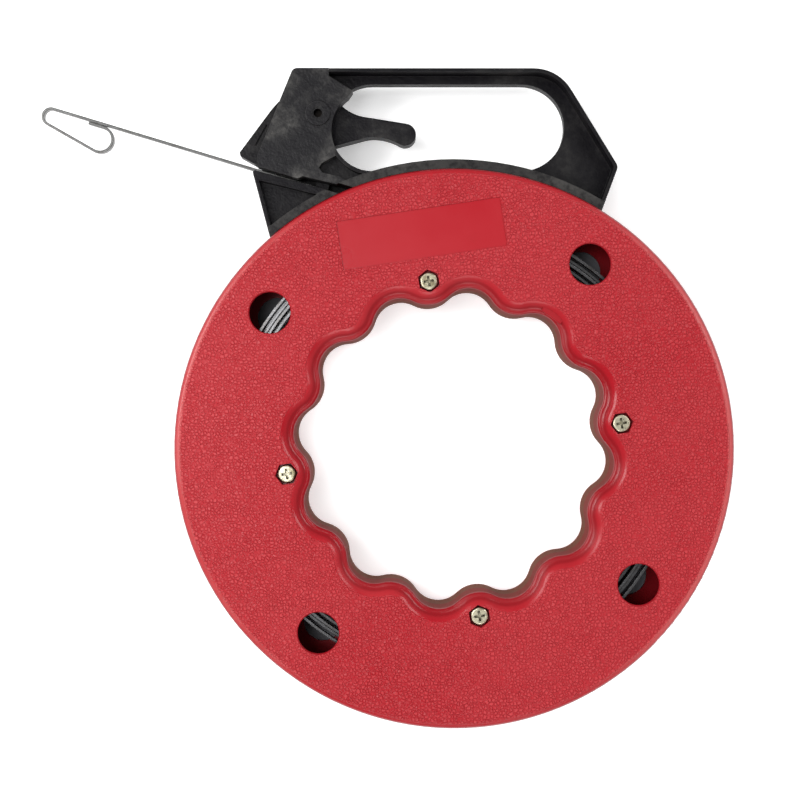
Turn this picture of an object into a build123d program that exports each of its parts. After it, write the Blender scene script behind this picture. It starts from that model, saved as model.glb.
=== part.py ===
from build123d import *
import os
from math import atan, cos, degrees, radians, sin, sqrt

os.makedirs("parts", exist_ok=True)

# Fish tape reel lying on its back, in millimetres and degrees.
# Z is the turning axis of the case, the back face of the case is at z = 0, and the grip is towards +Y.

# Case: two identical red mouldings that meet on the middle plane
case_radius = 150.0
case_thickness = 38.0
shell_wall = 2.2
rim_wall = 2.4
rim_round = 4.3
reel_turn = 8.6
middle_z = case_thickness / 2
face_z = case_thickness

# Scalloped hand hole and its stepped lip
lobe_count = 12
lobe_radius = 86.4
bump_radius = 78.0
lobe_round = 15.0
hub_wall = 2.4
ledge_width = 2.4
lip_width = 6.2
lip_depth = 3.5
edge_round = 1.4
lip_foot_round = 2.0
lip_shoulder_round = 3.8

# Round inspection windows and the plain label panel
window_count = 4
window_circle = 122.1
window_radius = 11.1
window_edge = 0.5
label_circle = 115.9
label_length = 88.5
label_height = 26.3
label_depth = 0.5

# Case screws, in hexagonal recesses that take the nuts at the back
screw_count = 4
screw_circle = 90.4
screw_boss_radius = 7.4
screw_hole_radius = 2.6
screw_shank_radius = 2.4
screw_head_radius = 5.05
screw_head_height = 3.0
screw_head_round = 1.3
recess_across_flats = 10.7
recess_depth = 4.2
nut_across_flats = 9.5
nut_thickness = 3.1
washer_thickness = 0.8
washer_radius = 4.9
cross_length = 5.6
cross_width = 1.3
cross_depth = 2.0

# Guide ring of the handle, between the two case halves
ring_outer_radius = case_radius + 0.6
ring_half_web = 2.2
ring_flange_outer = 147.0
ring_flange_inner = 145.0
ring_half_flange = 8.0
rim_gap = 0.4

# Handle
handle_thickness = 25.0
handle_top_y = 204.7
handle_back_z = middle_z - handle_thickness / 2
handle_face_z = middle_z + handle_thickness / 2
web_half_thickness = 3.0
outer_rim_width = 2.0
jaw_pocket_depth = 4.5
arc_band_radius = 155.6
handle_edge_round = 0.7
opening_right = (36.8, 174.6)
opening_right_radius = 23.7
opening_upper_left = (-44.5, 176.0)
opening_upper_left_radius = 22.3
opening_lower_left = (-43.7, 171.3)
opening_lower_left_radius = 22.2

# Brake lever, its pivot and its slot
pivot = (-73.2, 180.4)
lever_thickness = 8.0
slot_half_height = 4.4
squeeze_angle = 3.5
wing_groove_depth = 0.8
wing_groove_width = 1.0
pin_radius = 3.0
pin_setback = 2.5
bush_radius = 4.25
running_gap = 0.05
boss_radius = 6.85
boss_height = 0.8
eyelet_radius = 2.35
eyelet_seat_radius = 3.25
eyelet_seat_depth = 0.5
cover_seat_z = middle_z + slot_half_height
pivot_washer_radius = 7.0
pivot_washer_thickness = 0.3
spring_thickness = 0.5
spring_width = 5.0

# Steel tape
tape_thickness = 1.5
tape_width = 3.2
tangent_radius = 114.2
tangent_angle = 73.2
strand_length = 263.2
eye_tip_radius = 4.4
eye_turn = 167.1
eye_side = 29.5
eye_tail = 8.5
eye_tail_gap = 0.2
coil_inner_radius = 101.0
coil_outer_radius = 112.0
coil_width = 17.0
outer_turn_count = 4
outer_turn_step = 2.4
outer_turn_lift = 3.6

# Tape guides in the nose
tape_clearance = 0.35
slit_floor_z = middle_z - tape_width / 2 - tape_clearance
wear_plate_thickness = 0.9
wear_plate_width = 6.4
wear_plate_start = 114
wear_plate_end = 147
wear_plate_top = -tape_thickness / 2 - tape_clearance
wear_plate_bottom = wear_plate_top - wear_plate_thickness
brake_shoe_thickness = 1.2
brake_shoe_width = 7.0
brake_shoe_gap = 0.1
brake_shoe_start = 138
brake_shoe_end = 146
lever_foot_gap = 0.4

# Inner end of the tape, clipped to a block on the hub
anchor_angle = reel_turn + 45
anchor_face_radius = 92.0
anchor_depth = 4.8
anchor_length = 12.5
anchor_floor_z = 21.0
anchor_tape_z = 24.6
anchor_screw_z = 29.0
anchor_screw_radius = 1.5
anchor_screw_length = 4.3
anchor_head_radius = 2.5
anchor_head_height = 1.8
clip_thickness = 1.0
clip_length = 12.0
clip_bottom_z = 22.5
clip_top_z = 31.1
inner_end_sweep = 38.0

# Screws that hold the lever cover, put in from the back
cover_screw_places = [(-77.0, 199.6), (-74.0, 153.5)]
cover_screw_radius = 1.6
cover_hole_radius = 1.8
cover_head_radius = 3.3
cover_head_height = 2.2
cover_sink_radius = 3.7
cover_sink_depth = 2.6
cover_pilot_depth = 6.0


def polar(radius, angle):
    """Point at a radius and an angle in degrees."""
    return Vector(radius * cos(radians(angle)), radius * sin(radians(angle)))


# The straight strand leaves the coil at the tangent point and runs towards the nose.
tangent_point = polar(tangent_radius, tangent_angle)
tape_direction = polar(1.0, tangent_angle + 90)
tape_normal = polar(1.0, tangent_angle)


def beside_tape(along, offset):
    """Point a distance along the strand and an offset away from the case axis."""
    return tangent_point + tape_direction * along + tape_normal * offset


def strip_beside_tape(start, end, near, far):
    """Closed strip along the tape, between two distances and two offsets."""
    Polyline(
        beside_tape(start, near),
        beside_tape(end, near),
        beside_tape(end, far),
        beside_tape(start, far),
        close=True,
    )


def turned_about_pivot(point, angle):
    """Point after a turn about the lever's pivot."""
    arm = (point - Vector(*pivot)).rotate(Axis.Z, angle)
    return Vector(*pivot) + arm


# Arc centres of the scalloped hole, found from tangency between the lobes and the bumps
lobe_step = 360 / lobe_count
lobe_centre = lobe_radius - lobe_round
bump_reach = bump_radius - lobe_round
bump_centre = (lobe_centre**2 - bump_reach**2) / (
    2 * (lobe_centre * cos(radians(lobe_step / 2)) - bump_reach)
)
bump_round = bump_centre - bump_radius


def scallop_outline(grow):
    """Closed loop of lobes and bumps round the hand hole, moved outwards by grow."""
    for index in range(lobe_count):
        lobe_angle = reel_turn + (index + 0.5) * lobe_step
        bump_angle = lobe_angle + lobe_step / 2
        lobe = polar(lobe_centre, lobe_angle)
        before = polar(bump_centre, bump_angle - lobe_step)
        after = polar(bump_centre, bump_angle)
        start = lobe + (before - lobe).normalized() * (lobe_round + grow)
        end = lobe + (after - lobe).normalized() * (lobe_round + grow)
        lobe_tip = polar(lobe_centre + lobe_round + grow, lobe_angle)
        bump_tip = polar(bump_centre - bump_round + grow, bump_angle)
        next_lobe = polar(lobe_centre, lobe_angle + lobe_step)
        next_start = next_lobe + (after - next_lobe).normalized() * (lobe_round + grow)
        ThreePointArc(start, lobe_tip, end)
        ThreePointArc(end, bump_tip, next_start)


def axis_distance(edge):
    """Distance of an edge's middle from the case's axis."""
    middle = edge @ 0.5
    return sqrt(middle.X**2 + middle.Y**2)


def scallop_edges(part, grow, height):
    """Edges at a height that follow the scalloped outline moved outwards by grow."""
    lobe = polar(lobe_centre, lobe_step / 2)
    joint = lobe + (polar(bump_centre, lobe_step) - lobe).normalized() * (lobe_round + grow)
    level = part.edges().filter_by_position(Axis.Z, height - 0.01, height + 0.01)
    return level.filter_by(lambda edge: abs((edge @ 0).length**2 - joint.length**2 - height**2) < 1.0)


# ---------------------------------------------------------------- case
rim_edge_z = middle_z + ring_half_web + rim_gap
under_face_z = face_z - shell_wall
ledge_z = face_z - lip_depth
recess_floor_z = face_z - recess_depth
lip_taper = degrees(atan((lip_width - ledge_width) / lip_depth))

with BuildPart() as front_case_shell:
    with BuildSketch(Plane.XY.offset(rim_edge_z)):
        Circle(case_radius)
    extrude(amount=face_z - rim_edge_z)
    fillet(front_case_shell.edges().group_by(Axis.Z)[-1], rim_round)
    with BuildSketch(Plane.XY.offset(rim_edge_z)):
        Circle(case_radius - rim_wall)
    extrude(amount=under_face_z - rim_edge_z, mode=Mode.SUBTRACT)
    with BuildSketch(Plane.XY.offset(middle_z)):
        with BuildLine():
            scallop_outline(hub_wall)
        make_face()
    extrude(amount=under_face_z - middle_z)
    with BuildSketch(Plane.XY.offset(ledge_z - shell_wall)):
        with BuildLine():
            scallop_outline(lip_width + shell_wall)
        make_face()
    extrude(amount=under_face_z - ledge_z + shell_wall)
    with BuildSketch(Plane.XY.offset(middle_z)):
        with PolarLocations(screw_circle, screw_count, start_angle=reel_turn):
            Circle(screw_boss_radius)
    extrude(amount=under_face_z - middle_z)
    with BuildSketch(Plane.XY.offset(ledge_z)):
        with BuildLine():
            scallop_outline(ledge_width)
        make_face()
    extrude(amount=lip_depth, taper=-lip_taper, mode=Mode.SUBTRACT)
    with BuildSketch(Plane.XY.offset(middle_z)):
        with BuildLine():
            scallop_outline(0)
        make_face()
    extrude(amount=face_z, mode=Mode.SUBTRACT)
    fillet(scallop_edges(front_case_shell, lip_width, face_z), lip_shoulder_round)
    fillet(scallop_edges(front_case_shell, ledge_width, ledge_z), lip_foot_round)
    fillet(scallop_edges(front_case_shell, 0, ledge_z), edge_round)
    with BuildSketch(Plane.XY.offset(anchor_floor_z)):
        with PolarLocations(anchor_face_radius - anchor_depth / 2, 1, start_angle=anchor_angle):
            Rectangle(anchor_depth, anchor_length)
    extrude(amount=under_face_z - anchor_floor_z)
    with BuildSketch(Plane.XY.offset(middle_z)):
        with PolarLocations(screw_circle, screw_count, start_angle=reel_turn):
            Circle(screw_hole_radius)
    extrude(amount=face_z, mode=Mode.SUBTRACT)
    with BuildSketch(Plane.XY.offset(recess_floor_z)):
        with PolarLocations(screw_circle, screw_count, start_angle=reel_turn):
            RegularPolygon(recess_across_flats / 2, 6, major_radius=False)
    extrude(amount=recess_depth + shell_wall, mode=Mode.SUBTRACT)
    with BuildSketch(Plane.XY.offset(middle_z)):
        with PolarLocations(window_circle, window_count, start_angle=reel_turn + 45):
            Circle(window_radius)
    extrude(amount=face_z, mode=Mode.SUBTRACT)
    window_edges = front_case_shell.edges().filter_by(GeomType.CIRCLE)
    window_edges = window_edges.filter_by(lambda edge: abs(edge.radius - window_radius) < 0.01)
    chamfer(window_edges.group_by(Axis.Z)[-1], window_edge)
    with BuildSketch(Plane.XY.offset(face_z - label_depth)):
        with PolarLocations(label_circle, 1, start_angle=reel_turn + 90):
            Rectangle(label_height, label_length)
    extrude(amount=label_depth + shell_wall, mode=Mode.SUBTRACT)
    anchor_screw_plane = Plane(
        origin=polar(anchor_face_radius, anchor_angle) + Vector(0, 0, anchor_screw_z),
        z_dir=polar(1, anchor_angle),
    )
    with BuildSketch(anchor_screw_plane):
        Circle(anchor_screw_radius + running_gap)
    extrude(amount=-anchor_screw_length, mode=Mode.SUBTRACT)

with BuildPart() as rear_case_shell:
    mirror(front_case_shell.part, about=Plane.XY.offset(middle_z))

with BuildPart() as case_screws:
    with BuildSketch(Plane.XY.offset(recess_floor_z)):
        with PolarLocations(screw_circle, screw_count, start_angle=reel_turn):
            Circle(screw_head_radius)
    extrude(amount=screw_head_height)
    fillet(case_screws.edges().group_by(Axis.Z)[-1], screw_head_round)
    with BuildSketch(Plane.XY.offset(recess_floor_z + screw_head_height)):
        with PolarLocations(screw_circle, screw_count, start_angle=reel_turn):
            Rectangle(cross_length, cross_width)
            Rectangle(cross_width, cross_length)
    extrude(amount=-cross_depth, mode=Mode.SUBTRACT)
    with BuildSketch(Plane.XY.offset(recess_floor_z)):
        with PolarLocations(screw_circle, screw_count, start_angle=reel_turn):
            Circle(screw_shank_radius)
    extrude(amount=nut_thickness + washer_thickness + recess_depth - face_z)

washer_top_z = recess_depth
washer_bottom_z = washer_top_z - washer_thickness
nut_bottom_z = washer_bottom_z - nut_thickness

with BuildPart() as case_washers:
    with BuildSketch(Plane.XY.offset(washer_bottom_z)):
        with PolarLocations(screw_circle, screw_count, start_angle=reel_turn):
            Circle(washer_radius)
            Circle(screw_hole_radius, mode=Mode.SUBTRACT)
    extrude(amount=washer_thickness)

with BuildPart() as case_nuts:
    with BuildSketch(Plane.XY.offset(nut_bottom_z)):
        with PolarLocations(screw_circle, screw_count, start_angle=reel_turn):
            RegularPolygon(nut_across_flats / 2, 6, major_radius=False)
            Circle(screw_shank_radius + running_gap, mode=Mode.SUBTRACT)
    extrude(amount=nut_thickness)

# ---------------------------------------------------------------- tape
with BuildPart() as tape_coil:
    with BuildSketch(Plane.XY.offset(middle_z - coil_width / 2)):
        Circle(coil_outer_radius)
        Circle(coil_inner_radius, mode=Mode.SUBTRACT)
    extrude(amount=coil_width)
    fillet(tape_coil.edges().filter_by(GeomType.CIRCLE), tape_thickness)

# Looser turns round the main coil, kept clear of the plane of the straight strand
with BuildPart() as tape_outer_turns:
    for side in (-1, 1):
        for turn in range(outer_turn_count):
            turn_radius = tangent_radius + tape_thickness / 2 + turn * outer_turn_step
            lift = tape_width * 1.5 + (turn % 2) * outer_turn_lift
            with BuildSketch(Plane.XY.offset(middle_z + side * lift - tape_width / 2)):
                Circle(turn_radius + tape_thickness / 2)
                Circle(turn_radius - tape_thickness / 2, mode=Mode.SUBTRACT)
            extrude(amount=tape_width)

# Straight strand with a hand-bent eye at its end; the eye's tail lies beside the strand
eye_tip_bend = radians(eye_turn)
eye_end_radius = eye_tip_radius + (eye_side * sin(eye_tip_bend) - tape_thickness - eye_tail_gap) / (
    1 - cos(eye_tip_bend)
)

with BuildPart() as tape_leader:
    with BuildSketch(Plane.XY.offset(middle_z - tape_width / 2)):
        with BuildLine():
            straight = Line(tangent_point, beside_tape(strand_length, 0))
            tip = JernArc(straight @ 1, straight % 1, eye_tip_radius, eye_turn)
            side_run = Line(tip @ 1, tip @ 1 + (tip % 1) * eye_side)
            back = JernArc(side_run @ 1, side_run % 1, eye_end_radius, 360 - eye_turn)
            Line(back @ 1, back @ 1 + (back % 1) * eye_tail)
        trace(line_width=tape_thickness)
    extrude(amount=tape_width)

with BuildPart() as tape_inner_end:
    with BuildSketch(Plane.XY.offset(anchor_tape_z - tape_width / 2)):
        with BuildLine():
            start = polar(anchor_face_radius + tape_thickness / 2, anchor_angle)
            along = polar(1, anchor_angle + 90)
            flat = Line(start - along * clip_length / 2, start + along * clip_length / 2)
            reach = polar(coil_inner_radius - tape_thickness, anchor_angle + inner_end_sweep)
            TangentArc(flat @ 1, reach, tangent=along)
        trace(line_width=tape_thickness)
    extrude(amount=tape_width)

clip_radius = anchor_face_radius + tape_thickness
clip_lip_radius = (clip_radius + clip_thickness + anchor_face_radius) / 2

with BuildPart() as tape_anchor_clip:
    with BuildSketch(Plane.XY.offset(clip_bottom_z)):
        with PolarLocations(clip_radius + clip_thickness / 2, 1, start_angle=anchor_angle):
            Rectangle(clip_thickness, clip_length)
    extrude(amount=clip_top_z - clip_bottom_z)
    with BuildSketch(Plane.XY.offset(clip_top_z)):
        with PolarLocations(clip_lip_radius, 1, start_angle=anchor_angle):
            Rectangle(clip_thickness + tape_thickness, clip_length)
    extrude(amount=clip_thickness)
    with BuildSketch(anchor_screw_plane.offset(tape_thickness)):
        Circle(anchor_screw_radius + running_gap)
    extrude(amount=clip_thickness, mode=Mode.SUBTRACT)

with BuildPart() as tape_anchor_screw:
    with BuildSketch(anchor_screw_plane.offset(tape_thickness + clip_thickness)):
        Circle(anchor_head_radius)
    extrude(amount=anchor_head_height)
    anchor_head_edge = tape_anchor_screw.edges().sort_by_distance(Vector(0, 0, anchor_screw_z))[-1]
    fillet(anchor_head_edge, anchor_head_height / 2)
    with BuildSketch(anchor_screw_plane.offset(tape_thickness + clip_thickness)):
        Circle(anchor_screw_radius)
    extrude(amount=-anchor_screw_length)

# ---------------------------------------------------------------- handle
nose_upper = (-105.4, 152.4)
nose_lower = (-108.4, 148.8)
handle_corners = [(77.2, 121.0), (88.6, 151.8), (56.2, handle_top_y), (-86.6, handle_top_y)]
handle_corners += [(-105.8, 157.5), nose_upper, nose_lower, (-97.5, 107.7)]
handle_rounds = [1.0, 4.0, 23.5, 3.5, 6.0, 0.8, 1.2, 1.0]
cover_side = [(-67.3, 215.0), (-67.3, 200.4), (-54.6, 192.5)]
cover_pocket = [(-63.9, 157.3), (-71.2, 153.4), (-72.6, 150.9)]
cover_pocket += [(-70.8, 148.4), (-61.5, 146.2), (-55.5, 141.5)]
cover_nose = [(-60.5, 141.5), (-81.3, 146.4), (-84.3, 145.2), (-112.0, 153.6), (-112.0, 215.0)]
pocket_end = [(-57.0, 143.5), (-46.0, 146.0), (-46.0, 152.0), (-57.0, 160.0)]
jaw_pocket = [(-105.0, 144.3), (-73.5, 136.5), (-98.6, 119.5)]


def handle_outline():
    """Side outline of the handle, with its rounded corners."""
    with BuildLine() as outline:
        FilletPolyline(*handle_corners, radius=handle_rounds, close=True)
    make_face(outline.edges())


def finger_opening():
    """Finger opening between the grip bar and the band over the case."""
    with Locations(opening_right):
        Circle(opening_right_radius)
    with Locations(opening_upper_left):
        Circle(opening_upper_left_radius)
    with Locations(opening_lower_left):
        Circle(opening_lower_left_radius)
    make_hull()
    Circle(arc_band_radius, mode=Mode.SUBTRACT)


def cover_region():
    """Raised plate over the lever, open to the finger opening along an arc."""
    arc_centre = Vector(*opening_lower_left)
    arc_start = arc_centre + polar(opening_lower_left_radius, 126.5)
    arc_end = arc_centre + polar(opening_lower_left_radius, 206.0)
    with BuildLine() as plate:
        Polyline(*cover_side, arc_start)
        ThreePointArc(arc_start, arc_centre + polar(opening_lower_left_radius, 170), arc_end)
        Polyline(arc_end, *cover_pocket, *cover_nose, cover_side[0])
    make_face(plate.edges())
    Circle(arc_band_radius, mode=Mode.SUBTRACT)


def grip_channel():
    """Sunk field of the grip bar and the right leg, inside the outer rim."""
    handle_outline()
    offset(amount=-outer_rim_width, mode=Mode.REPLACE)
    Circle(arc_band_radius, mode=Mode.SUBTRACT)
    with BuildLine() as lever_side:
        Polyline(*cover_side, (-30.0, 175.0), (-60.0, 80.0), (-130.0, 80.0), (-130.0, 215.0), cover_side[0])
    make_face(lever_side.edges(), mode=Mode.SUBTRACT)


well_corners = [(-55.0, 187.0), (-60.0, 193.8), (-88.0, 194.2), (-97.5, 190.6), (-125.0, 170.0)]
well_corners += [beside_tape(165, -0.4), beside_tape(126, -0.4), (-84.6, 150.0), (-80.0, 158.3)]
well_corners += [(-66.5, 159.3), (-55.0, 160.5)]
web_top_z = middle_z + web_half_thickness
web_bottom_z = middle_z - web_half_thickness
jaw_floor_z = handle_face_z - jaw_pocket_depth
pocket_floor_z = handle_face_z - jaw_pocket_depth
slot_bottom_z = middle_z - slot_half_height

with BuildPart() as handle_frame:
    with BuildSketch(Plane.XY.offset(handle_back_z)):
        handle_outline()
        Circle(ring_outer_radius, mode=Mode.SUBTRACT)
    extrude(amount=handle_thickness)
    both_faces = (handle_back_z, handle_face_z)
    outline_edges = handle_frame.edges().filter_by(lambda edge: (edge @ 0.5).Z in both_faces)
    outline_edges = outline_edges.filter_by(lambda edge: axis_distance(edge) > ring_outer_radius + 0.1)
    fillet(outline_edges, handle_edge_round)
    with BuildSketch(Plane.XY.offset(handle_back_z)):
        finger_opening()
    extrude(amount=handle_thickness, mode=Mode.SUBTRACT)
    for channel_z, channel_depth in ((web_top_z, handle_thickness), (web_bottom_z, -handle_thickness)):
        with BuildSketch(Plane.XY.offset(channel_z)):
            grip_channel()
        extrude(amount=channel_depth, mode=Mode.SUBTRACT)
    with BuildSketch(Plane.XY.offset(cover_seat_z)):
        cover_region()
    extrude(amount=handle_thickness, mode=Mode.SUBTRACT)
    with BuildSketch(Plane.XY.offset(pocket_floor_z)):
        with BuildLine():
            Polyline(*cover_pocket[:5], *pocket_end, close=True)
        make_face()
        Circle(arc_band_radius, mode=Mode.SUBTRACT)
        with Locations(opening_lower_left):
            Circle(opening_lower_left_radius + outer_rim_width, mode=Mode.SUBTRACT)
    extrude(amount=handle_thickness, mode=Mode.SUBTRACT)
    with BuildSketch(Plane.XY.offset(jaw_floor_z)):
        with BuildLine():
            Polyline(*jaw_pocket, close=True)
        make_face()
        Circle(arc_band_radius - 0.4, mode=Mode.SUBTRACT)
    extrude(amount=handle_thickness, mode=Mode.SUBTRACT)
    # well for the lever, open to the nose and to the finger opening
    with BuildSketch(Plane.XY.offset(slot_bottom_z)):
        with BuildLine():
            Polyline(*well_corners, close=True)
        make_face()
    extrude(amount=2 * slot_half_height, mode=Mode.SUBTRACT)
    # slit that the tape runs in, open to the front
    with BuildSketch(Plane.XY.offset(slit_floor_z)):
        with BuildLine():
            Polyline(
                beside_tape(80, -1.0),
                beside_tape(112, -1.0),
                beside_tape(165, -2.4),
                beside_tape(165, 4.6),
                beside_tape(80, 4.6),
                close=True,
            )
        make_face()
        Circle(ring_outer_radius, mode=Mode.SUBTRACT)
    extrude(amount=handle_thickness, mode=Mode.SUBTRACT)
    # keeper over the tape where it leaves the case
    with BuildSketch(Plane.XY.offset(middle_z + tape_width / 2 + tape_clearance)):
        with BuildLine():
            strip_beside_tape(106, 113, -2.0, 5.5)
        make_face()
    extrude(amount=slot_half_height - tape_width / 2 - tape_clearance)
    # guide ring that the case turns on
    with BuildSketch(Plane.XY.offset(middle_z - ring_half_flange)):
        Circle(ring_flange_outer)
        Circle(ring_flange_inner, mode=Mode.SUBTRACT)
    extrude(amount=2 * ring_half_flange)
    with BuildSketch(Plane.XY.offset(middle_z - ring_half_web)):
        Circle(ring_outer_radius)
        Circle(ring_flange_inner, mode=Mode.SUBTRACT)
    extrude(amount=2 * ring_half_web)
    with BuildSketch(Plane.XY.offset(middle_z - ring_half_web)):
        with BuildLine():
            strip_beside_tape(78, 104, -1.2, 2.4)
        make_face()
    extrude(amount=2 * ring_half_web, mode=Mode.SUBTRACT)
    # groove for the wear plate
    with BuildSketch(Plane.XY.offset(middle_z - wear_plate_width / 2)):
        with BuildLine():
            strip_beside_tape(wear_plate_start, 160, -0.5, wear_plate_bottom)
        make_face()
    extrude(amount=wear_plate_width, mode=Mode.SUBTRACT)
    # pivot bore and the cover screws' holes
    with BuildSketch(Plane.XY.offset(handle_back_z + 2.0)):
        with Locations(pivot):
            Circle(pin_radius)
    extrude(amount=slot_bottom_z - handle_back_z, mode=Mode.SUBTRACT)
    with BuildSketch(Plane.XY.offset(handle_back_z)):
        with Locations(*cover_screw_places):
            Circle(cover_hole_radius)
    extrude(amount=handle_thickness, mode=Mode.SUBTRACT)
    with BuildSketch(Plane.XY.offset(handle_back_z)):
        with Locations(*cover_screw_places):
            Circle(cover_sink_radius)
    extrude(amount=cover_sink_depth, mode=Mode.SUBTRACT)

with BuildPart() as lever_cover:
    with BuildSketch(Plane.XY.offset(cover_seat_z)):
        cover_region()
        with BuildLine():
            FilletPolyline(*handle_corners, radius=handle_rounds, close=True)
        make_face(mode=Mode.INTERSECT)
    extrude(amount=handle_face_z - cover_seat_z)
    with BuildSketch(Plane.XY.offset(handle_face_z)):
        with Locations(pivot):
            Circle(boss_radius)
    extrude(amount=boss_height)
    fillet(lever_cover.edges().group_by(Axis.Z)[-1], 0.5)
    with BuildSketch(Plane.XY.offset(handle_face_z + boss_height)):
        with Locations(pivot):
            Circle(eyelet_seat_radius)
    extrude(amount=-eyelet_seat_depth, mode=Mode.SUBTRACT)
    with BuildSketch(Plane.XY.offset(cover_seat_z)):
        with Locations(pivot):
            Circle(eyelet_radius)
    extrude(amount=handle_thickness, mode=Mode.SUBTRACT)
    with BuildSketch(Plane.XY.offset(cover_seat_z)):
        with Locations(pivot):
            Circle(pin_radius)
        with Locations(*cover_screw_places):
            Circle(cover_screw_radius)
    extrude(amount=cover_pilot_depth, mode=Mode.SUBTRACT)

with BuildPart() as cover_screws:
    with BuildSketch(Plane.XY.offset(handle_back_z + cover_sink_depth)):
        with Locations(*cover_screw_places):
            Circle(cover_head_radius)
    extrude(amount=-cover_head_height)
    fillet(cover_screws.edges().group_by(Axis.Z)[0], cover_head_height * 0.45)
    with BuildSketch(Plane.XY.offset(handle_back_z + cover_sink_depth - cover_head_height)):
        with Locations(*cover_screw_places):
            Rectangle(cross_length * 0.7, cross_width)
            Rectangle(cross_width, cross_length * 0.7)
    extrude(amount=cross_depth * 0.7, mode=Mode.SUBTRACT)
    with BuildSketch(Plane.XY.offset(handle_back_z + cover_sink_depth)):
        with Locations(*cover_screw_places):
            Circle(cover_screw_radius)
    extrude(amount=cover_seat_z + cover_pilot_depth - 0.5 - handle_back_z - cover_sink_depth)

with BuildPart() as wear_plate:
    with BuildSketch(Plane.XY.offset(middle_z - wear_plate_width / 2)):
        with BuildLine():
            strip_beside_tape(wear_plate_start + 0.2, wear_plate_end, wear_plate_top, wear_plate_bottom)
        make_face()
    extrude(amount=wear_plate_width)

# ---------------------------------------------------------------- lever
shoe_face = tape_thickness / 2 + brake_shoe_gap
foot_start = beside_tape(brake_shoe_start - 1, tape_thickness / 2 + lever_foot_gap)
foot_end = beside_tape(brake_shoe_end + 1, tape_thickness / 2 + lever_foot_gap)
trigger_tip = Vector(-26.4, 170.7)
trigger_tip_radius = 6.0


def shoe_outline(near):
    """Section of the brake shoe from an offset off the tape to its back, with the lever open."""
    far = shoe_face + brake_shoe_thickness
    corners = [beside_tape(brake_shoe_start, near), beside_tape(brake_shoe_end, near)]
    corners += [beside_tape(brake_shoe_end, far), beside_tape(brake_shoe_start, far)]
    Polyline(*[turned_about_pivot(corner, -squeeze_angle) for corner in corners], close=True)


with BuildPart() as brake_lever:
    with BuildSketch(Plane.XY.offset(middle_z - lever_thickness / 2)):
        with BuildLine():
            hub_top = Vector(*pivot) + Vector(0, 11.2)
            ThreePointArc(hub_top, (-66.6, 189.4), (-61.8, 187.4))
            ThreePointArc((-61.8, 187.4), (-55.2, 182.5), (-47.0, 180.1))
            tip_start = trigger_tip + polar(trigger_tip_radius, 81)
            tip_end = trigger_tip + polar(trigger_tip_radius, -120)
            Line((-47.0, 180.1), tip_start)
            ThreePointArc(tip_start, trigger_tip + polar(trigger_tip_radius, -20), tip_end)
            hollow = TangentArc(tip_end, (-42.0, 169.3), tangent=polar(1, 150))
            belly = TangentArc(hollow @ 1, (-50.5, 168.2), tangent=hollow % 1)
            Polyline(
                belly @ 1,
                (-64.6, 164.5),
                (-77.0, 161.8),
                (-87.0, 156.5),
                (-92.2, 151.6),
                turned_about_pivot(foot_start, -squeeze_angle),
                turned_about_pivot(foot_end, -squeeze_angle),
                (-116.0, 158.9),
                (-116.6, 160.9),
                (-98.9, 184.6),
                (-95.2, 188.7),
                (-88.0, 190.6),
                hub_top,
            )
        make_face()
        with Locations(pivot):
            Circle(bush_radius, mode=Mode.SUBTRACT)
    extrude(amount=lever_thickness)
    with BuildSketch(Plane.XY.offset(middle_z - brake_shoe_width / 2)):
        with BuildLine():
            shoe_outline(tape_thickness / 2)
        make_face()
    extrude(amount=brake_shoe_width, mode=Mode.SUBTRACT)
    with BuildSketch(Plane.XY.offset(middle_z + lever_thickness / 2 - wing_groove_depth)):
        with BuildLine():
            Line((-101.5, 176.0), (-107.6, 164.9))
        trace(line_width=wing_groove_width)
    extrude(amount=wing_groove_depth, mode=Mode.SUBTRACT)

with BuildPart() as brake_shoe:
    with BuildSketch(Plane.XY.offset(middle_z - brake_shoe_width / 2)):
        with BuildLine():
            shoe_outline(shoe_face)
        make_face()
    extrude(amount=brake_shoe_width)

with BuildPart() as lever_bush:
    with BuildSketch(Plane.XY.offset(middle_z - lever_thickness / 2)):
        with Locations(pivot):
            Circle(bush_radius)
            Circle(pin_radius + running_gap, mode=Mode.SUBTRACT)
    extrude(amount=lever_thickness)

with BuildPart() as pivot_washers:
    for washer_z in (slot_bottom_z, cover_seat_z - pivot_washer_thickness):
        with BuildSketch(Plane.XY.offset(washer_z)):
            with Locations(pivot):
                Circle(pivot_washer_radius)
                Circle(pin_radius + running_gap, mode=Mode.SUBTRACT)
        extrude(amount=pivot_washer_thickness)

with BuildPart() as lever_pivot_pin:
    with BuildSketch(Plane.XY.offset(handle_back_z + 2.0)):
        with Locations(pivot):
            Circle(pin_radius)
    extrude(amount=cover_seat_z + cover_pilot_depth - handle_back_z - pin_setback - 2.0)
    chamfer(lever_pivot_pin.edges().filter_by(GeomType.CIRCLE), 0.4)

with BuildPart() as lever_spring:
    with BuildSketch(Plane.XY.offset(middle_z - spring_width / 2)):
        with BuildLine():
            fixed_end = Line((-88.0, 193.6), (-77.0, 193.55))
            TangentArc(fixed_end @ 1, (-66.0, 191.6), tangent=fixed_end % 1)
        trace(line_width=spring_thickness)
    extrude(amount=spring_width)

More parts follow.
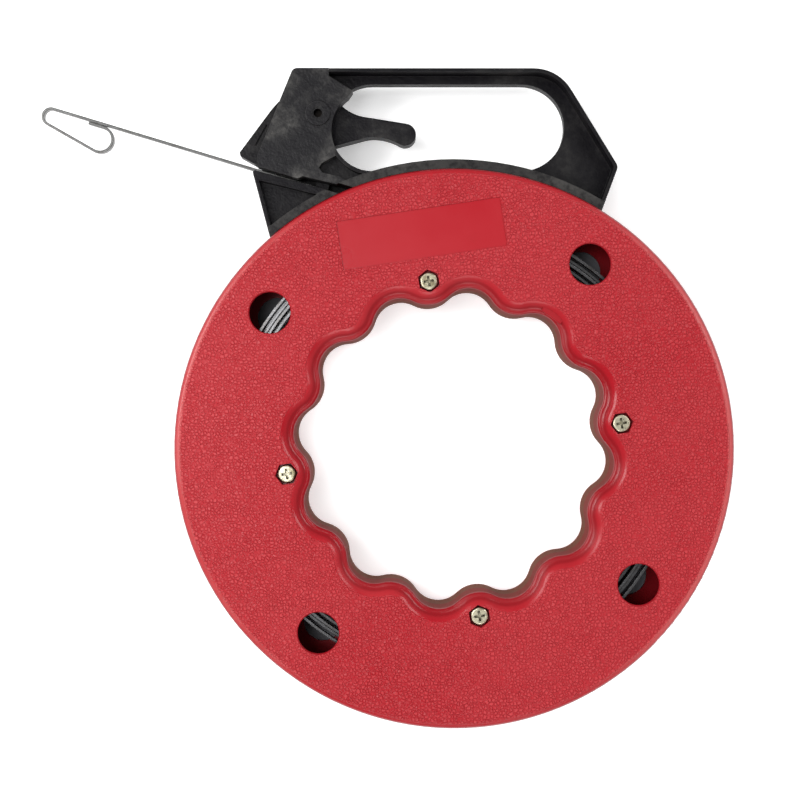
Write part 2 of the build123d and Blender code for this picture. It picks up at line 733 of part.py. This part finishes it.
pieces = {
    "front_case_shell": front_case_shell,
    "rear_case_shell": rear_case_shell,
    "case_screws": case_screws,
    "case_washers": case_washers,
    "case_nuts": case_nuts,
    "tape_coil": tape_coil,
    "tape_outer_turns": tape_outer_turns,
    "tape_leader": tape_leader,
    "tape_inner_end": tape_inner_end,
    "tape_anchor_clip": tape_anchor_clip,
    "tape_anchor_screw": tape_anchor_screw,
    "handle_frame": handle_frame,
    "lever_cover": lever_cover,
    "cover_screws": cover_screws,
    "wear_plate": wear_plate,
    "brake_lever": brake_lever,
    "brake_shoe": brake_shoe,
    "lever_bush": lever_bush,
    "pivot_washers": pivot_washers,
    "lever_pivot_pin": lever_pivot_pin,
    "lever_spring": lever_spring,
}
for name, piece in pieces.items():
    piece.part.label = name
    export_step(piece.part, f"parts/{name}.step")
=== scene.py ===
"""Fish tape reel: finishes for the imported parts, the wound tape and a soft-lit stage."""
import random
from math import cos, pi, sin

import bpy
from bpy.props import FloatProperty, FloatVectorProperty, IntProperty, PointerProperty
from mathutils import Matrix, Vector


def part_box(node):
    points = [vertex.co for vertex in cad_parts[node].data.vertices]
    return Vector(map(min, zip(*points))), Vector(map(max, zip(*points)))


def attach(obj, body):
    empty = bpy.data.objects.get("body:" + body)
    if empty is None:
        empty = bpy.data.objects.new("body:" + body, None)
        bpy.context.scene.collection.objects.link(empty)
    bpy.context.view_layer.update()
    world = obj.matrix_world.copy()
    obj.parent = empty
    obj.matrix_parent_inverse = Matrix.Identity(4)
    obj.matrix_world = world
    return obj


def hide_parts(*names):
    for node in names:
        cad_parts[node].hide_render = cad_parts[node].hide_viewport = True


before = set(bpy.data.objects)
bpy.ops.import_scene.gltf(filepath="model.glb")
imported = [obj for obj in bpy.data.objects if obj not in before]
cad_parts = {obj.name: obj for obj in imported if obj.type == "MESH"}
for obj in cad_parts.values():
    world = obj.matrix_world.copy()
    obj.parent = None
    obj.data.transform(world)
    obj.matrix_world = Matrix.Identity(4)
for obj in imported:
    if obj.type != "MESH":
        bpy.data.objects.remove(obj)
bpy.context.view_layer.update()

bl_info = {
    "name": "Fish Tape Reel",
    "version": (1, 0, 0),
    "blender": (4, 5, 0),
    "location": "View3D > Sidebar > Fish Tape",
    "description": "Finishes a fish tape reel: pebbled case, worn black handle, spring steel tape",
    "category": "Object",
}

MM = 0.001
CASE_LOW, CASE_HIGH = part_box("rear_case_shell")[0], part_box("front_case_shell")[1]
CASE_MIDDLE_Z = (CASE_LOW.z + CASE_HIGH.z) / 2
CASE_HALF = (CASE_HIGH.z - CASE_LOW.z) / 2
CASE_RADIUS = CASE_HIGH.x
HANDLE_FACE_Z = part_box("handle_frame")[1].z
COIL_LOW, COIL_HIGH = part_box("tape_coil")
LIP_REACH = 90.0 * MM

# worn and dirty tones, painted highlights and painted shade that the settings below don't change
GRIMED_RED = (0.26, 0.012, 0.014)
RIM_HIGHLIGHT = (0.72, 0.22, 0.21)
RIM_BRINK_SHADE = (0.15, 0.002, 0.004)
LEDGE_SHADE = (0.17, 0.001, 0.004)
WALL_SHADE_BROWN = (0.11, 0.018, 0.008)
REAR_WALL_SHADE = (0.10, 0.034, 0.014)
HOLLOW_SHADE = (0.012, 0.010, 0.007)
SHADED_EDGE = (0.015, 0.015, 0.014)
FLOOR_SHADOW = (0.22, 0.22, 0.24)


# ---------------------------------------------------------------- sizes and colours
def length(name, description, default):
    """A length in metres that shows in the scene's own unit."""
    return FloatProperty(name=name, description=description, default=default, unit="LENGTH", precision=5)


def tint(name, description, default):
    """A colour without alpha."""
    return FloatVectorProperty(name=name, description=description, default=default, subtype="COLOR", size=3)


class FishTapeCaseSettings(bpy.types.PropertyGroup):
    """The red case"""

    pebble_size: length("Pebble size", "Width of one raised pebble of the grain", 1.75 * MM)
    pebble_height: length("Pebble height", "Height of the grain", 0.42 * MM)
    red: tint("Case red", "Colour of the case", (0.300, 0.003, 0.009))
    # the paler red serves rubbed wear and also the painted sheen and painted highlights on the case
    rubbed_and_highlight_red: tint("Rubbed and highlight red", "Paler tone of rubbed plastic and of painted highlights and sheen", (0.50, 0.055, 0.062))


class FishTapeHandleSettings(bpy.types.PropertyGroup):
    """The black handle and lever"""

    black: tint("Handle black", "Colour of the clean handle", (0.0035, 0.0030, 0.0042))
    dust: tint("Handle dust", "Colour of dust rubbed into the handle", (0.082, 0.079, 0.074))
    edge_round: length("Edge round", "Softening of the moulded edges", 0.5 * MM)


class FishTapeSteelSettings(bpy.types.PropertyGroup):
    """The tape and the metal fittings"""

    tape_steel: tint("Tape steel", "Colour of the blued spring steel", (0.13, 0.13, 0.135))
    zinc: tint("Zinc", "Colour of the plated screws", (0.52, 0.49, 0.36))
    tape_width: length("Tape width", "Width of the flat tape", 3.2 * MM)
    tape_thickness: length("Tape thickness", "Thickness of the flat tape", 1.5 * MM)
    turn_pitch: length("Turn pitch", "Distance from turn to turn", 2.05 * MM)
    seed: IntProperty(name="Seed", description="Seed for the unevenness of the winding", default=7)


class FishTapeStageSettings(bpy.types.PropertyGroup):
    """The floor and the camera"""

    floor: tint("Floor", "Colour of the floor", (0.90, 0.90, 0.90))
    floor_size: length("Floor size", "Width of the floor", 6.0)
    camera_height: length("Camera height", "Height of the camera over the floor", 0.664)
    lens: FloatProperty(name="Lens", description="Focal length", default=52.9)


# ---------------------------------------------------------------- node helpers
def add(tree, kind, inputs=None, **attributes):
    """A shader node with its attributes set and its inputs set or linked."""
    made = tree.nodes.new(kind)
    for name, value in attributes.items():
        setattr(made, name, value)
    for name, value in (inputs or {}).items():
        if isinstance(value, bpy.types.NodeSocket):
            tree.links.new(value, made.inputs[name])
        else:
            made.inputs[name].default_value = value
    return made


def calc(tree, operation, first, second=0.0, clamp=False):
    """Result of a sum on one or two values, each a number or a socket."""
    return add(tree, "ShaderNodeMath", {0: first, 1: second}, operation=operation, use_clamp=clamp).outputs[0]


def ramp(tree, value, low, high, out_low=0.0, out_high=1.0):
    """Smooth step of a value from out_low to out_high."""
    inputs = {"Value": value, "From Min": low, "From Max": high, "To Min": out_low, "To Max": out_high}
    return add(tree, "ShaderNodeMapRange", inputs, interpolation_type="SMOOTHSTEP").outputs["Result"]


def noise(tree, place, scale, detail=2.0, roughness=0.5):
    """A noise texture, whose Fac or Color output is used."""
    inputs = {"Vector": place, "Scale": scale, "Detail": detail, "Roughness": roughness}
    return add(tree, "ShaderNodeTexNoise", inputs)


def blend_colour(tree, amount, first, second):
    """Colour between first and second; a plain colour is given as three numbers."""
    made = add(tree, "ShaderNodeMix", {0: amount}, data_type="RGBA")
    for socket, colour in ((made.inputs[6], first), (made.inputs[7], second)):
        if isinstance(colour, bpy.types.NodeSocket):
            tree.links.new(colour, socket)
        else:
            socket.default_value = (*colour, 1.0)
    return made.outputs[2]


def new_finish(name, roughness, metallic=0.0, specular=0.5):
    """A material with an empty principled shader; returns it with its tree, shader and place."""
    made = bpy.data.materials.new(name)
    made.use_nodes = True
    tree = made.node_tree
    shader = tree.nodes["Principled BSDF"]
    shader.inputs["Roughness"].default_value = roughness
    shader.inputs["Metallic"].default_value = metallic
    shader.inputs["Specular IOR Level"].default_value = specular
    place = add(tree, "ShaderNodeTexCoord").outputs["Object"]
    return made, tree, shader, place


def times(tree, first, second):
    """Product of two values."""
    return calc(tree, "MULTIPLY", first, second)


def axis_reach(tree, place):
    """Distance of each point from the case's axis."""
    flat = add(tree, "ShaderNodeVectorMath", {0: place, 1: (1.0, 1.0, 0.0)}, operation="MULTIPLY").outputs[0]
    return add(tree, "ShaderNodeVectorMath", {0: flat}, operation="LENGTH").outputs["Value"]


def edge_facing(tree, soft):
    """One on flats and less on edges, from the softened normal and the true one."""
    true_normal = add(tree, "ShaderNodeNewGeometry").outputs["Normal"]
    inputs = {0: soft, 1: true_normal}
    return add(tree, "ShaderNodeVectorMath", inputs, operation="DOT_PRODUCT").outputs["Value"]


def raise_bump(tree, shader, height, strength, distance, under=None):
    """Bump from a height, laid over the normal that is given or over none."""
    inputs = {"Height": height, "Strength": strength, "Distance": distance}
    if under is not None:
        inputs["Normal"] = under
    normal = add(tree, "ShaderNodeBump", inputs).outputs["Normal"]
    tree.links.new(normal, shader.inputs["Normal"])
    return normal


# ---------------------------------------------------------------- finishes
def pebbles(tree, place, face, case):
    """Raised pebbles of uneven strength on the flat faces, zero elsewhere."""
    sway = noise(tree, place, 260.0, 2.0).outputs["Color"]
    sway = add(tree, "ShaderNodeVectorMath", {0: sway, 1: (0.5, 0.5, 0.5)}, operation="SUBTRACT").outputs[0]
    sway = add(tree, "ShaderNodeVectorMath", {0: sway, "Scale": 1.6 * MM}, operation="SCALE").outputs[0]
    swayed = add(tree, "ShaderNodeVectorMath", {0: place, 1: sway}, operation="ADD").outputs[0]
    inputs = {"Vector": swayed, "Scale": 1 / case.pebble_size, "Randomness": 0.85}
    cells = add(tree, "ShaderNodeTexVoronoi", inputs, feature="DISTANCE_TO_EDGE")
    domes = ramp(tree, cells.outputs["Distance"], 0.0, 0.26)
    patches = noise(tree, place, 55.0, 3.0).outputs["Fac"]
    return times(tree, times(tree, domes, face), ramp(tree, patches, 0.35, 0.62, 0.80, 1.0))


def rim_highlight_and_shade(tree, colour, reach, across, broad):
    """Painted highlight as a pale crest at both sides of the rim, and painted shade as a deeper red at its
    very edge.
    """
    crest = ramp(tree, reach, CASE_RADIUS - 4.8 * MM, CASE_RADIUS - 3.0 * MM)
    fall = ramp(tree, reach, CASE_RADIUS - 2.2 * MM, CASE_RADIUS - 1.2 * MM, 1.0, 0.0)
    crest = times(tree, crest, fall)
    sideways = calc(tree, "ABSOLUTE", across)
    crest = times(tree, crest, ramp(tree, sideways, 0.06, 0.13, 0.02, 0.30))
    crest = times(tree, crest, ramp(tree, broad, 0.3, 0.6, 0.5, 1.0))
    # painted highlight: pale crest, strongest at the left and right sides
    colour = blend_colour(tree, crest, colour, RIM_HIGHLIGHT)
    # painted shade: deeper red at the rim's very edge
    brink = ramp(tree, reach, CASE_RADIUS - 1.6 * MM, CASE_RADIUS - 0.5 * MM)
    return blend_colour(tree, times(tree, brink, 0.6), colour, RIM_BRINK_SHADE)


def lip_highlight_and_shade(tree, colour, inside, level, face, across, broad, case):
    """Painted highlight on the slope round the hand hole, most on the left, over a ledge in painted shade of
    deeper red.
    """
    lip = times(tree, inside, ramp(tree, level, CASE_HALF - 3.7 * MM, CASE_HALF - 2.8 * MM))
    lip = times(tree, lip, ramp(tree, face, 0.0, 1.0, 1.0, 0.0))
    lip = times(tree, lip, ramp(tree, broad, 0.35, 0.62, 0.06, 0.20))
    lip = times(tree, lip, ramp(tree, across, -0.06, 0.04, 1.3, 0.2))
    # painted highlight: paler slope, most on the left
    colour = blend_colour(tree, lip, colour, tuple(case.rubbed_and_highlight_red))
    # painted shade: deeper red on the ledge and below it
    ledge = ramp(tree, level, CASE_HALF - 2.7 * MM, CASE_HALF - 1.4 * MM, 1.0, 0.0)
    ledge = times(tree, inside, ledge)
    return blend_colour(tree, times(tree, ledge, 0.6), colour, LEDGE_SHADE)


def shade_wall(tree, colour, hole_wall, height):
    """Painted shade in brown on the wall of the hand hole, deeper on its rear half."""
    # painted shade: brown on the wall of the hand hole
    colour = blend_colour(tree, times(tree, hole_wall, 0.70), colour, WALL_SHADE_BROWN)
    # more painted shade, browner, on the rear half of the wall
    rear = ramp(tree, height, CASE_MIDDLE_Z - 1.0 * MM, CASE_MIDDLE_Z + 1.0 * MM, 1.0, 0.0)
    rear = times(tree, rear, hole_wall)
    return blend_colour(tree, times(tree, rear, 0.80), colour, REAR_WALL_SHADE)


def pebbled_red(case):
    """Moulded red plastic: pebbled on the flat faces, smooth on lips, rim and label panel."""
    made, tree, shader, place = new_finish("pebbled_red_plastic", 0.45, specular=0.27)
    parts = add(tree, "ShaderNodeSeparateXYZ", {0: place})
    across, height = parts.outputs["X"], parts.outputs["Z"]
    level = calc(tree, "ABSOLUTE", calc(tree, "SUBTRACT", height, CASE_MIDDLE_Z))
    face = ramp(tree, level, CASE_HALF - 0.30 * MM, CASE_HALF - 0.04 * MM)
    domes = pebbles(tree, place, face, case)
    fine = noise(tree, place, 2600.0, 2.0).outputs["Fac"]
    raise_bump(tree, shader, calc(tree, "ADD", domes, times(tree, fine, 0.10)), 1.0, case.pebble_height)

    broad = noise(tree, place, 9.0, 4.0, 0.6).outputs["Fac"]
    # paler red mask: random rubbed wear from the broad noise
    rubbed = ramp(tree, broad, 0.38, 0.68, 0.0, 0.10)
    # painted sheen: paler towards the left side of the flat face
    left = ramp(tree, across, -0.15, -0.04, 0.14, 0.0)
    rubbed = calc(tree, "ADD", rubbed, times(tree, left, face))
    # painted highlight: paler pebble tops
    rubbed = calc(tree, "ADD", rubbed, times(tree, domes, 0.36), clamp=True)
    colour = blend_colour(tree, rubbed, tuple(case.red), tuple(case.rubbed_and_highlight_red))
    grime = noise(tree, place, 38.0, 6.0, 0.7).outputs["Fac"]
    colour = blend_colour(tree, times(tree, ramp(tree, grime, 0.56, 0.74), 0.28), colour, GRIMED_RED)

    reach = axis_reach(tree, place)
    inside = ramp(tree, reach, LIP_REACH, LIP_REACH + 3.0 * MM, 1.0, 0.0)
    below_lip = ramp(tree, level, CASE_HALF - 6.5 * MM, CASE_HALF - 3.8 * MM, 1.0, 0.0)
    # the wall of the hand hole: painted brown shade and a rougher finish
    hole_wall = times(tree, inside, below_lip)
    # painted highlight and shade on the rim and lip, painted shade on the wall of the hand hole
    colour = rim_highlight_and_shade(tree, colour, reach, across, broad)
    colour = lip_highlight_and_shade(tree, colour, inside, level, face, across, broad, case)
    colour = shade_wall(tree, colour, hole_wall, height)
    tree.links.new(colour, shader.inputs["Base Color"])

    gloss = ramp(tree, broad, 0.3, 0.7, 0.36, 0.50)
    smooth = times(tree, ramp(tree, face, 0.0, 1.0, 1.0, 0.0), 0.16)
    gloss = calc(tree, "ADD", calc(tree, "SUBTRACT", gloss, smooth), times(tree, hole_wall, 0.6))
    tree.links.new(gloss, shader.inputs["Roughness"])
    return made


def worn_black(name, handle, dust_amount, dust_scale, roughness, specular):
    """Black moulding with soft edges, a fine grain and dust rubbed into it, most along the case."""
    made, tree, shader, place = new_finish(name, roughness, specular=specular)
    soft = add(tree, "ShaderNodeBevel", {"Radius": handle.edge_round}, samples=4).outputs["Normal"]
    grain = noise(tree, place, 900.0, 3.0).outputs["Fac"]
    dents = noise(tree, place, 330.0, 4.0, 0.6).outputs["Fac"]
    raise_bump(tree, shader, calc(tree, "ADD", times(tree, grain, 0.45), dents), 0.85, 0.45 * MM, soft)

    edge = ramp(tree, edge_facing(tree, soft), 0.86, 0.995, 0.5, 0.0)
    cloud = noise(tree, place, dust_scale, 6.0, 0.65).outputs["Fac"]
    specks = noise(tree, place, dust_scale * 9, 3.0, 0.7).outputs["Fac"]
    dusty = times(tree, ramp(tree, cloud, 0.42, 0.70), ramp(tree, specks, 0.35, 0.65, 0.35, 1.0))
    dusty = calc(tree, "ADD", times(tree, dusty, dust_amount), times(tree, edge, 0.45))
    dusty = calc(tree, "ADD", dusty, band_dust(tree, place, specks), clamp=True)
    colour = blend_colour(tree, dusty, tuple(handle.black), tuple(handle.dust))
    tree.links.new(colour, shader.inputs["Base Color"])
    gloss = ramp(tree, cloud, 0.3, 0.7, roughness - 0.06, roughness + 0.10)
    tree.links.new(gloss, shader.inputs["Roughness"])
    return made


def band_dust(tree, place, specks):
    """Dust on the face of the band that the handle lays along the case."""
    height = add(tree, "ShaderNodeSeparateXYZ", {0: place}).outputs["Z"]
    near_case = ramp(tree, axis_reach(tree, place), CASE_RADIUS + 5.2 * MM, CASE_RADIUS + 6.0 * MM, 1.0, 0.0)
    on_face = ramp(tree, height, HANDLE_FACE_Z - 1.5 * MM, HANDLE_FACE_Z - 0.3 * MM)
    return times(tree, times(tree, near_case, on_face), ramp(tree, specks, 0.30, 0.60, 0.10, 0.34))


def worn_metal(
    name, colour, roughness, stain, stain_amount, scratch_scale=900.0, edge_round=0.25 * MM, scratched=0.18,
    dark_edge=0.0,
):
    """Bare or plated metal with soft edges, fine scratches, a patchy stain, painted shade in its hollows and,
    if dark_edge is set, painted shade on its edges.
    """
    made, tree, shader, place = new_finish(name, roughness, metallic=1.0)
    soft = add(tree, "ShaderNodeBevel", {"Radius": edge_round}, samples=4).outputs["Normal"]
    scratch = noise(tree, place, scratch_scale, 4.0, 0.7).outputs["Fac"]
    patch = noise(tree, place, 120.0, 5.0, 0.65).outputs["Fac"]
    raise_bump(tree, shader, scratch, scratched, 0.12 * MM, soft)
    stained = times(tree, ramp(tree, patch, 0.45, 0.68), stain_amount)
    colour = blend_colour(tree, stained, tuple(colour), stain)
    # painted shade: darker in the hollows, found by ambient occlusion
    hollow = add(tree, "ShaderNodeAmbientOcclusion", {"Distance": 1.6 * MM}, samples=6).outputs["AO"]
    colour = blend_colour(tree, ramp(tree, hollow, 0.30, 0.85, 0.92, 0.0), colour, HOLLOW_SHADE)
    # painted shade: darker towards the rounded edges, used on the leading strand
    if dark_edge:
        edge = ramp(tree, edge_facing(tree, soft), 0.88, 0.998, dark_edge, 0.0)
        colour = blend_colour(tree, edge, colour, SHADED_EDGE)
    tree.links.new(colour, shader.inputs["Base Color"])
    gloss = ramp(tree, scratch, 0.3, 0.7, roughness - 0.08, roughness + 0.14)
    tree.links.new(gloss, shader.inputs["Roughness"])
    return made


def hard_rubber():
    """Dull black rubber with a fine grain."""
    made, tree, shader, place = new_finish("hard_rubber", 0.75)
    grain = noise(tree, place, 1800.0, 3.0).outputs["Fac"]
    raise_bump(tree, shader, grain, 0.3, 0.15 * MM)
    colour = blend_colour(tree, grain, (0.018, 0.018, 0.018), (0.045, 0.044, 0.042))
    tree.links.new(colour, shader.inputs["Base Color"])
    return made


def dress(names, finish):
    """Gives CAD nodes their finish."""
    for name in names:
        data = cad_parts[name].data
        data.materials.clear()
        data.materials.append(finish)


# ---------------------------------------------------------------- operators
class FISHTAPE_OT_case(bpy.types.Operator):
    """Finish the two case shells in pebbled red plastic"""

    bl_idname = "fishtape.case"
    bl_label = "Case Shells"

    def execute(self, context):
        dress(("front_case_shell", "rear_case_shell"), pebbled_red(context.scene.fishtape_case))
        return {"FINISHED"}


class FISHTAPE_OT_fixings(bpy.types.Operator):
    """Finish the screws, nuts and washers in worn zinc"""

    bl_idname = "fishtape.fixings"
    bl_label = "Screws And Nuts"

    def execute(self, context):
        steel = context.scene.fishtape_steel
        zinc = worn_metal(
            "worn_zinc", steel.zinc, 0.34, (0.14, 0.11, 0.05), 0.85, scratch_scale=700.0, scratched=0.5,
        )
        dress(("case_screws", "case_nuts", "case_washers", "cover_screws", "tape_anchor_screw"), zinc)
        return {"FINISHED"}


class FISHTAPE_OT_wound_tape(bpy.types.Operator):
    """Wind the tape's turns inside the case and finish them in spring steel"""

    bl_idname = "fishtape.wound_tape"
    bl_label = "Wound Tape"

    depth = 11.0 * MM
    rows = 5
    segments = 220
    corner = 0.22 * MM
    side_play = 0.2 * MM
    end_play = 0.1 * MM

    def execute(self, context):
        steel = context.scene.fishtape_steel
        spring_steel = worn_metal(
            "spring_steel", steel.tape_steel, 0.24, (0.07, 0.06, 0.05), 0.5,
            scratch_scale=2600.0, edge_round=0.5 * MM, scratched=0.08,
        )
        dress(("tape_outer_turns", "tape_inner_end"), spring_steel)
        bright = worn_metal("bright_steel", (0.55, 0.55, 0.55), 0.28, (0.25, 0.22, 0.19), 0.25)
        dress(("tape_anchor_clip",), bright)
        piece = self.wind(steel, spring_steel)
        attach(piece, "reel")
        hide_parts("tape_coil")
        return {"FINISHED"}

    def section(self, steel):
        """Corner-softened section of the tape: thickness across, width along the axis."""
        across, along = steel.tape_thickness / 2, steel.tape_width / 2
        cut = self.corner
        return (
            (-across, -along + cut), (-across + cut, -along), (across - cut, -along), (across, -along + cut),
            (across, along - cut), (across - cut, along), (-across + cut, along), (-across, along - cut),
        )

    def wind(self, steel, finish):
        """Closed turns of tape in rows and columns, each a little out of round."""
        chance = random.Random(steel.seed)
        section = self.section(steel)
        first_radius = COIL_HIGH.x - self.depth + steel.tape_thickness / 2 + self.side_play
        first_height = COIL_LOW.z + steel.tape_width / 2 + self.end_play
        columns = int((self.depth - steel.tape_thickness - 2 * self.side_play) / steel.turn_pitch) + 1
        row_step = (COIL_HIGH.z - COIL_LOW.z - steel.tape_width - 2 * self.end_play) / (self.rows - 1)
        corners, faces = [], []
        for row in range(self.rows):
            for column in range(columns):
                radius = first_radius + column * steel.turn_pitch
                height = first_height + row * row_step
                sway, phase = chance.uniform(0.02, 0.10) * MM, chance.uniform(0, 2 * pi)
                self.add_turn(corners, faces, section, radius, height, sway, phase)
        data = bpy.data.meshes.new("wound_tape_turns")
        data.from_pydata(corners, [], faces)
        data.validate()
        data.materials.append(finish)
        piece = bpy.data.objects.new("wound_tape_turns", data)
        bpy.context.scene.collection.objects.link(piece)
        return piece

    def add_turn(self, corners, faces, section, radius, height, sway, phase):
        """One closed turn: the section carried round the axis."""
        start, count = len(corners), len(section)
        for step in range(self.segments):
            angle = 2 * pi * step / self.segments
            out = radius + sway * sin(2 * angle + phase)
            for across, along in section:
                reach = out + across
                corners.append((reach * cos(angle), reach * sin(angle), height + along))
        for step in range(self.segments):
            here, there = start + step * count, start + (step + 1) % self.segments * count
            for side in range(count):
                after = (side + 1) % count
                faces.append((here + side, here + after, there + after, there + side))


class FISHTAPE_OT_leader(bpy.types.Operator):
    """Finish the tape's leading strand and its bent eye"""

    bl_idname = "fishtape.leader"
    bl_label = "Leading Strand"

    def execute(self, context):
        steel = context.scene.fishtape_steel
        finish = worn_metal(
            "handled_steel", (0.14, 0.14, 0.138), 0.28, (0.08, 0.075, 0.07), 0.5,
            scratch_scale=2600.0, edge_round=0.7 * MM, scratched=0.10, dark_edge=0.85,
        )
        dress(("tape_leader",), finish)
        return {"FINISHED"}


class FISHTAPE_OT_handle(bpy.types.Operator):
    """Finish the handle, its plate and the lever in worn black plastic"""

    bl_idname = "fishtape.handle"
    bl_label = "Handle And Lever"

    def execute(self, context):
        handle = context.scene.fishtape_handle
        dress(("handle_frame",), worn_black("handle_black", handle, 0.22, 26.0, 0.42, 0.12))
        dress(("lever_cover",), worn_black("plate_black", handle, 1.0, 34.0, 0.46, 0.22))
        dress(("brake_lever",), worn_black("lever_black", handle, 0.30, 40.0, 0.40, 0.14))
        return {"FINISHED"}


class FISHTAPE_OT_lever_metal(bpy.types.Operator):
    """Finish the pivot, spring, washers, bush, shoe and wear plate"""

    bl_idname = "fishtape.lever_metal"
    bl_label = "Lever Fittings"

    def execute(self, context):
        blued = worn_metal("blued_steel", (0.10, 0.10, 0.11), 0.38, (0.06, 0.05, 0.04), 0.4)
        dress(("pivot_washers", "lever_spring", "wear_plate"), blued)
        blackened = worn_metal("blackened_steel", (0.014, 0.013, 0.013), 0.45, (0.03, 0.02, 0.01), 0.4)
        dress(("lever_pivot_pin",), blackened)
        brass = worn_metal("bush_brass", (0.62, 0.45, 0.20), 0.33, (0.25, 0.15, 0.06), 0.4)
        dress(("lever_bush",), brass)
        dress(("brake_shoe",), hard_rubber())
        return {"FINISHED"}


class FISHTAPE_OT_stage(bpy.types.Operator):
    """Lay the pale floor, set the soft lights and place the camera"""

    bl_idname = "fishtape.stage"
    bl_label = "Stage"

    floor_gap = 0.2 * MM
    floor_glow = 0.40
    sky_strength = 0.40
    eye_place = (-0.022, 0.0238)
    lens_shift = (-0.0162, 0.005)

    def execute(self, context):
        stage = context.scene.fishtape_stage
        self.floor(context, stage)
        self.lights(context)
        self.camera(context, stage)
        context.scene.view_settings.view_transform = "Standard"
        return {"FINISHED"}

    def floor(self, context, stage):
        """A pale floor that glows a little as painted light, with a painted shadow under the case: dark and
        without glow in a ring there.
        """
        half = stage.floor_size / 2
        corners = [(-half, -half, 0), (half, -half, 0), (half, half, 0), (-half, half, 0)]
        data = bpy.data.meshes.new("floor")
        data.from_pydata(corners, [], [(0, 1, 2, 3)])
        piece = bpy.data.objects.new("floor", data)
        piece.location.z = CASE_LOW.z - self.floor_gap
        finish, tree, shader, place = new_finish("pale_floor", 0.9, specular=0.2)
        shader.inputs["Emission Color"].default_value = (*stage.floor, 1.0)
        reach = add(tree, "ShaderNodeVectorMath", {0: place}, operation="LENGTH").outputs["Value"]
        in_hand_hole = ramp(tree, reach, 86.0 * MM, 92.0 * MM, 1.0, 0.0)
        beyond_case = ramp(tree, reach, CASE_RADIUS - 7.0 * MM, CASE_RADIUS - 1.0 * MM)
        open_floor = calc(tree, "ADD", in_hand_hole, beyond_case)
        # painted light: the floor glows in the hand hole and beyond the case
        tree.links.new(times(tree, open_floor, self.floor_glow), shader.inputs["Emission Strength"])
        # painted shadow: darker floor in the ring under the case
        colour = blend_colour(tree, open_floor, FLOOR_SHADOW, tuple(stage.floor))
        tree.links.new(colour, shader.inputs["Base Color"])
        data.materials.append(finish)
        context.scene.collection.objects.link(piece)

    def lights(self, context):
        """Four square softboxes aimed at the case's centre, and an even white sky."""
        # name, place, size, power
        boxes = (
            ("left_softbox", (-1.00, 0.35, 0.90), 0.7, 16.0),
            ("sheen_softbox", (-0.38, 0.05, 1.30), 0.45, 4.5),
            ("right_softbox", (1.00, 0.55, 0.95), 0.7, 10.0),
            ("front_softbox", (0.10, -1.10, 1.05), 0.8, 10.0),
        )
        for name, spot, size, power in boxes:
            data = bpy.data.lights.new(name, "AREA")
            data.shape = "SQUARE"
            data.size = size
            data.energy = power
            lamp = bpy.data.objects.new(name, data)
            lamp.location = spot
            lamp.rotation_euler = Vector(spot).to_track_quat("Z", "Y").to_euler()
            context.scene.collection.objects.link(lamp)
        world = bpy.data.worlds.new("studio")
        world.use_nodes = True
        sky = world.node_tree.nodes["Background"]
        sky.inputs["Color"].default_value = (1.0, 1.0, 1.0, 1.0)
        sky.inputs["Strength"].default_value = self.sky_strength
        context.scene.world = world

    def camera(self, context, stage):
        """A camera that looks straight down on the reel."""
        data = bpy.data.cameras.new("camera")
        data.sensor_width = 36.0
        data.lens = stage.lens
        data.shift_x, data.shift_y = self.lens_shift
        eye = bpy.data.objects.new("camera", data)
        eye.location = (*self.eye_place, stage.camera_height)
        context.scene.collection.objects.link(eye)
        context.scene.camera = eye


class FISHTAPE_PT_panel(bpy.types.Panel):
    """Runs each step and shows its settings"""

    bl_label = "Fish Tape Reel"
    bl_idname = "FISHTAPE_PT_panel"
    bl_space_type = "VIEW_3D"
    bl_region_type = "UI"
    bl_category = "Fish Tape"

    def draw(self, context):
        for operator in OPERATORS:
            self.layout.operator(operator.bl_idname)
        for group, settings in GROUPS.items():
            box = self.layout.box()
            box.label(text=settings.__name__)
            for name in settings.__annotations__:
                box.prop(getattr(context.scene, group), name)


OPERATORS = (
    FISHTAPE_OT_stage,
    FISHTAPE_OT_case,
    FISHTAPE_OT_fixings,
    FISHTAPE_OT_wound_tape,
    FISHTAPE_OT_leader,
    FISHTAPE_OT_handle,
    FISHTAPE_OT_lever_metal,
)
GROUPS = {
    "fishtape_case": FishTapeCaseSettings,
    "fishtape_handle": FishTapeHandleSettings,
    "fishtape_steel": FishTapeSteelSettings,
    "fishtape_stage": FishTapeStageSettings,
}


def register():
    for settings in GROUPS.values():
        bpy.utils.register_class(settings)
    for name, settings in GROUPS.items():
        setattr(bpy.types.Scene, name, PointerProperty(type=settings))
    for operator in OPERATORS:
        bpy.utils.register_class(operator)
    bpy.utils.register_class(FISHTAPE_PT_panel)


def unregister():
    bpy.utils.unregister_class(FISHTAPE_PT_panel)
    for operator in reversed(OPERATORS):
        bpy.utils.unregister_class(operator)
    for name in GROUPS:
        delattr(bpy.types.Scene, name)
    for settings in reversed(tuple(GROUPS.values())):
        bpy.utils.unregister_class(settings)


def main():
    register()
    for operator in OPERATORS:
        group, action = operator.bl_idname.split(".")
        getattr(getattr(bpy.ops, group), action)()


if __name__ == "__main__":
    main()
